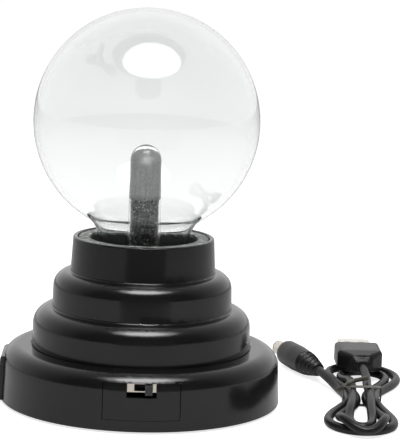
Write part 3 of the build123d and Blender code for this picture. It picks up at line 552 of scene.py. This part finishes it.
slot_of = {entry["node"]: entry["material_slot"] for entry in frame["record"]["subparts"]}


def dress(piece, finish):
    """Gives a piece one finish."""
    piece.data.materials.clear()
    piece.data.materials.append(finish)


for name, node in nodes.items():
    dress(node, finishes[slot_of[name]])
dress(power_cord, finishes["cord_pvc"])


# ---- pieces whose surfaces are made smooth here -------------------------------------


def stand_for(piece, name):
    """A piece rides where its node rides, hides it, and takes its slot and finish."""
    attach(piece, nodes[name]["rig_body"])
    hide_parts(name)
    dress(piece, finishes[slot_of[name]])


def merge(mesh, near, least, outward=False):
    """Joins points closer than near and drops faces thinner than least, both in metres."""
    work = bmesh.new()
    work.from_mesh(mesh)
    bmesh.ops.remove_doubles(work, verts=work.verts, dist=near)
    bmesh.ops.dissolve_degenerate(work, edges=work.edges, dist=least)
    if outward:
        bmesh.ops.recalc_face_normals(work, faces=work.faces)
    work.to_mesh(mesh)
    work.free()


def smooth_copy(name, sharp=32.0):
    """Merged copy of a node, smooth where faces meet at under sharp degrees, standing for it."""
    mesh = nodes[name].data.copy()
    merge(mesh, 1e-6, 1e-7)
    mesh.shade_smooth()
    mesh.set_sharp_from_angle(angle=radians(sharp))
    piece = bpy.data.objects.new(name + "_finished", mesh)
    scene.collection.objects.link(piece)
    weight = piece.modifiers.new("weight", "WEIGHTED_NORMAL")
    weight.keep_sharp = True
    stand_for(piece, name)
    return piece


def mesh_piece(name, points, faces):
    """Smooth-shaded object from rows of points in metres and rows of face corners."""
    mesh = bpy.data.meshes.new(name)
    mesh.from_pydata(points.tolist(), [], faces.tolist())
    mesh.shade_smooth()
    piece = bpy.data.objects.new(name, mesh)
    scene.collection.objects.link(piece)
    return piece


def arc(centre, radius, start, end, count=24):
    """Points (r, z) at centre + radius * (cos a, sin a), a running from start to end degrees."""
    angle = np.radians(np.linspace(start, end, count))
    return np.stack([centre[0] + radius * np.cos(angle), centre[1] + radius * np.sin(angle)], 1)


def sweep_points(controls, count=28):
    """Cubic Bezier curve: the sum of four control points, each by its Bernstein share."""
    along = np.linspace(0.0, 1.0, count)[:, None]
    first, second, third, last = [np.array(point) for point in controls]
    return (
        first * (1 - along) ** 3
        + 3 * second * along * (1 - along) ** 2
        + 3 * third * along ** 2 * (1 - along)
        + last * along ** 3
    )


def turned(name, profile, turns=192):
    """Surface of revolution: (r, z) of an outline in mm becomes (r cos a, r sin a, z).

    The outline's last point joins its first, and a ring of no radius shrinks to one point.
    """
    radius, height = np.array(profile).T * MM
    angle = np.linspace(0.0, 2 * pi, turns, endpoint=False)
    across, along = np.outer(radius, np.cos(angle)), np.outer(radius, np.sin(angle))
    points = np.stack(np.broadcast_arrays(across, along, height[:, None]), -1)
    row = np.arange(len(radius))[:, None] * turns
    step = np.arange(turns)
    after = np.roll(row, -1, 0)
    ahead = (step + 1) % turns
    faces = np.stack([row + step, row + ahead, after + ahead, after + step], -1)
    piece = mesh_piece(name, points.reshape(-1, 3), faces.reshape(-1, 4))
    merge(piece.data, 2e-7, 1e-8, outward=True)
    piece.data.set_sharp_from_angle(angle=radians(50.0))
    return piece


# blown globe: sphere of radius 40 that necks down to a tube of radius 16.2

GLOBE_Z = 100.6
GLOBE = 40.0
WALL = 1.2
NECK = 16.2
NECK_END = 46.1
BLEND = 9.5
blend_x = NECK + BLEND
blend_drop = sqrt((GLOBE + BLEND) ** 2 - blend_x ** 2)
blend_turn = np.degrees(np.arctan2(blend_drop, -blend_x))


def globe_skin(inset):
    """Neck wall, hollow blend and sphere, the given distance inside the outer skin."""
    neck = arc((blend_x, GLOBE_Z - blend_drop), BLEND + inset, 180.0, blend_turn, 20)
    ball = arc((0.0, GLOBE_Z), GLOBE - inset, blend_turn - 180.0, 90.0, 96)
    foot = np.array([(NECK - inset, NECK_END), (NECK - inset, 52.0)])
    ball[-1, 0] = 0.0
    return np.concatenate([foot, neck, ball[1:]])


globe = turned("blown_globe", np.concatenate([globe_skin(0.0), globe_skin(WALL)[::-1]]))
stand_for(globe, "globe_glass")

STEM = 5.5
STEM_FOOT = 5.8
STEM_WALL = 0.7
STEM_TOP = 92.4
CROWN = 3.0


def stem_skin(inset, crown, flare):
    """Flared foot, long straight tube and half-round top, the given distances inside."""
    foot = sweep_points([*flare, (STEM_FOOT - inset, 66.0)])
    radius = STEM - inset
    top = arc((0.0, STEM_TOP - crown - radius), radius, 0.0, 90.0, 24)
    top[-1, 0] = 0.0
    return np.concatenate([foot, top])


outer = stem_skin(0.0, 0.0, [(15.0, 47.3), (9.0, 48.6), (5.9, 54.0)])
inner = stem_skin(STEM_WALL, CROWN, [(13.8, 46.1), (8.0, 47.6), (5.0, 53.5)])
stem = turned("blown_stem", np.concatenate([outer, inner[::-1], [(15.0, 46.1)]]), 128)
stand_for(stem, "stem_glass")


LINING = 4.86
LINING_BOTTOM, LINING_DOME = 73.1, 84.58
lining_top = arc((0.0, LINING_DOME), LINING, 0.0, 90.0, 20)
lining_top[-1, 0] = 0.0
lining_under = arc((0.0, LINING_DOME), LINING - 0.45, 90.0, 0.0, 20)
lining_under[0, 0] = 0.0
lining_side = [(LINING + 0.2, LINING_BOTTOM)]
lining_inside = [(LINING - 0.25, LINING_BOTTOM)]
lining = turned(
    "conductive_lining", np.concatenate([lining_side, lining_top, lining_under, lining_inside]), 128
)
stand_for(lining, "electrode_coating")


# steel wool: a crumpled heart and many fine shavings curled round it; the finish paints the heart
# black, as painted shade

WOOL = 5.2
WOOL_BOTTOM, WOOL_TOP = 54.0, 73.0


HEART = 4.35
HEART_ROWS = 90
HEART_SPOKES = 72
HEART_HEIGHT = 26.0


def wool_heart():
    """Closed column: its radius is HEART plus a sum of sines of angle and height.

    That is multiplied by the smaller of 1 and the root of 40 times the share of the height that
    is left to the nearer end, which rounds both ends to a point.
    """
    up = np.linspace(0.0, 1.0, HEART_ROWS)[:, None]
    angle = np.linspace(0.0, 2 * pi, HEART_SPOKES, endpoint=False)[None, :]
    swell = 0.32 * np.sin(7 * angle + 31 * up) * np.sin(5 * angle - 47 * up)
    swell = swell + 0.2 * np.sin(17 * angle + 83 * up) + 0.15 * np.sin(29 * angle - 140 * up)
    radius = (HEART + swell) * np.minimum(1.0, np.sqrt(np.minimum(up, 1 - up) * 40))
    height = WOOL_BOTTOM + 0.2 + up * HEART_HEIGHT
    across, along = radius * np.cos(angle), radius * np.sin(angle)
    points = np.stack(np.broadcast_arrays(across, along, height), -1) * MM
    row = np.arange(HEART_ROWS - 1)[:, None] * HEART_SPOKES
    after = row + HEART_SPOKES
    step = np.arange(HEART_SPOKES)
    ahead = (step + 1) % HEART_SPOKES
    faces = np.stack([row + step, row + ahead, after + ahead, after + step], -1)
    return points.reshape(-1, 3), faces.reshape(-1, 4)


def wool_shavings(count=1500, steps=10):
    """Fine slivers, each a bent three-sided tube just under the wool's surface.

    With t from 0 to 1 along a sliver, curl is a sine of t with a size and pitch of its own; the
    angle is a start plus bend times t plus 0.16 of the curl; the height is a start plus climb
    times t plus the curl; the thickness is part of half a sine, so both ends are fine.
    """
    sides = 3
    along = np.linspace(0.0, 1.0, steps)[None, :]
    start = random.uniform(0, 2 * pi, (count, 1))
    bend = random.uniform(-2.2, 2.2, (count, 1))
    climb = random.uniform(-4.5, 4.5, (count, 1))
    curl_height = random.uniform(0.3, 1.6, (count, 1))
    curl = curl_height * np.sin(2 * pi * random.uniform(0.4, 1.6, (count, 1)) * along)
    angle = start + bend * along + 0.16 * curl
    height = random.uniform(WOOL_BOTTOM + 0.4, WOOL_TOP - 0.3, (count, 1)) + climb * along + curl
    height = np.clip(height, WOOL_BOTTOM + 0.2, WOOL_TOP - 0.1)
    depth = random.uniform(0.06, 0.9, (count, 1)) + 0.25 * np.sin(6 * along + start)
    depth = np.clip(depth, 0.1, None)
    thick = random.uniform(0.035, 0.11, (count, 1)) * np.sin(pi * (0.06 + 0.88 * along))
    side = (np.arange(sides) * 2 * pi / sides)[None, None, :]
    radial = (WOOL - thick - depth)[..., None] + thick[..., None] * np.cos(side)
    raised = height[..., None] + thick[..., None] * np.sin(side)
    turn = angle[..., None]
    points = np.stack([radial * np.cos(turn), radial * np.sin(turn), raised], -1) * MM
    base = (np.arange(count) * steps * sides)[:, None, None]
    row = base + (np.arange(steps - 1) * sides)[None, :, None]
    after = row + sides
    step = np.arange(sides)[None, None, :]
    ahead = (step + 1) % sides
    faces = np.stack([row + step, row + ahead, after + ahead, after + step], -1)
    return points.reshape(-1, 3), faces.reshape(-1, 4)


heart_points, heart_faces = wool_heart()
sliver_points, sliver_faces = wool_shavings()
wool = mesh_piece(
    "steel_wool_tangle",
    np.concatenate([heart_points, sliver_points]),
    np.concatenate([heart_faces, sliver_faces + len(heart_points)]),
)
stand_for(wool, "steel_wool")

shown = {}
made_here = {
    "globe_glass", "stem_glass", "electrode_coating", "steel_wool",
    "lead_cord_dc", "lead_cord_usb", "lead_hank",
}
for name in nodes:
    if name not in made_here:
        shown[name] = smooth_copy(name)

[value * MM for value in cord_route[0]]


# ---- floor, light and surroundings --------------------------------------------------


def floor():
    """Wide sheet of paper that glows only to the lens and through glass; it is clear from below."""
    reach, setback, count = 4.0, 1.5, 9
    side = np.linspace(-reach, reach, count)
    across, along = np.meshgrid(side, side + setback)
    points = np.stack([across, along, np.zeros_like(across)], -1).reshape(-1, 3)
    corner = np.arange(count * count).reshape(count, count)
    faces = np.stack([corner[:-1, :-1], corner[:-1, 1:], corner[1:, 1:], corner[1:, :-1]], -1)
    sheet = mesh_piece("paper_floor", points, faces.reshape(-1, 4))
    paper = Finish("paper_white", Base_Color=shade(0.54), Roughness=0.9, Specular_IOR_Level=0.1)
    seen = paper.node("LightPath", output="Is Camera Ray")
    through = paper.node("LightPath", output="Is Transmission Ray")
    glow = paper.blend(seen.larger(through), shade(0.0), shade(0.77))
    paper.set(Emission_Color=glow, Emission_Strength=1.0)
    paper.clear_where(paper.node("NewGeometry", output="Backfacing"), shade(1.0))
    dress(sheet, paper.material)
    sheet.visible_shadow = False
    sheet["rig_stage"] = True


def surroundings():
    """Studio walls: white behind the object, grey at the sides and nearly dark behind the lens.

    The strength is 0.05 + 0.95 * (0.8 y + 0.3), the bracket held between 0 and 1.
    """
    world = bpy.data.worlds.new("studio")
    world.use_nodes = True
    scene.world = world
    tree = world.node_tree
    place = tree.nodes.new("ShaderNodeTexCoord")
    split = tree.nodes.new("ShaderNodeSeparateXYZ")
    tree.links.new(place.outputs["Generated"], split.inputs[0])
    back = Value(tree, split.outputs["Y"])
    glow = tree.nodes["Background"]
    put(tree, glow.inputs["Strength"], 0.05 + (back * 0.8 + 0.3).clamped() * 0.95)
    glow.inputs["Color"].default_value = (1.0, 1.0, 1.0, 1.0)


def dark_card():
    """Dark card in front, seen only in the gloss, where it gives the walls their dark middle."""
    left, right, front, low, high = -0.12, 0.17, -0.25, 0.001, 0.13
    points = np.array(
        [(left, front, low), (right, front, low), (right, front, high), (left, front, high)]
    )
    card = mesh_piece("dark_card", points, np.array([[0, 1, 2, 3]]))
    card.visible_camera = False
    card.visible_diffuse = False
    card.visible_shadow = False
    card.visible_transmission = False
    dress(card, plain_moulding("black_card", (0.14, 0.14, 0.14), 0.9))
    card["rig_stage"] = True


floor()
surroundings()
soft_box("overhead_softbox", (0.045, -0.335, 1.03), (0.0, 0.0, 0.1), (0.9, 0.74), 7.0, "ELLIPSE")
soft_box("overhead_core", (0.04, -0.37, 1.02), (0.0, 0.0, 0.1), (0.62, 0.42), 6.0, "ELLIPSE")
soft_box("underside_fill", (0.15, -0.3, -0.7), (0.0, 0.0, 0.0), (0.7, 0.7), 9.0)
dark_card()
scene.view_settings.view_transform = "Standard"

shown = [[float(value) for value in corner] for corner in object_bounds()]
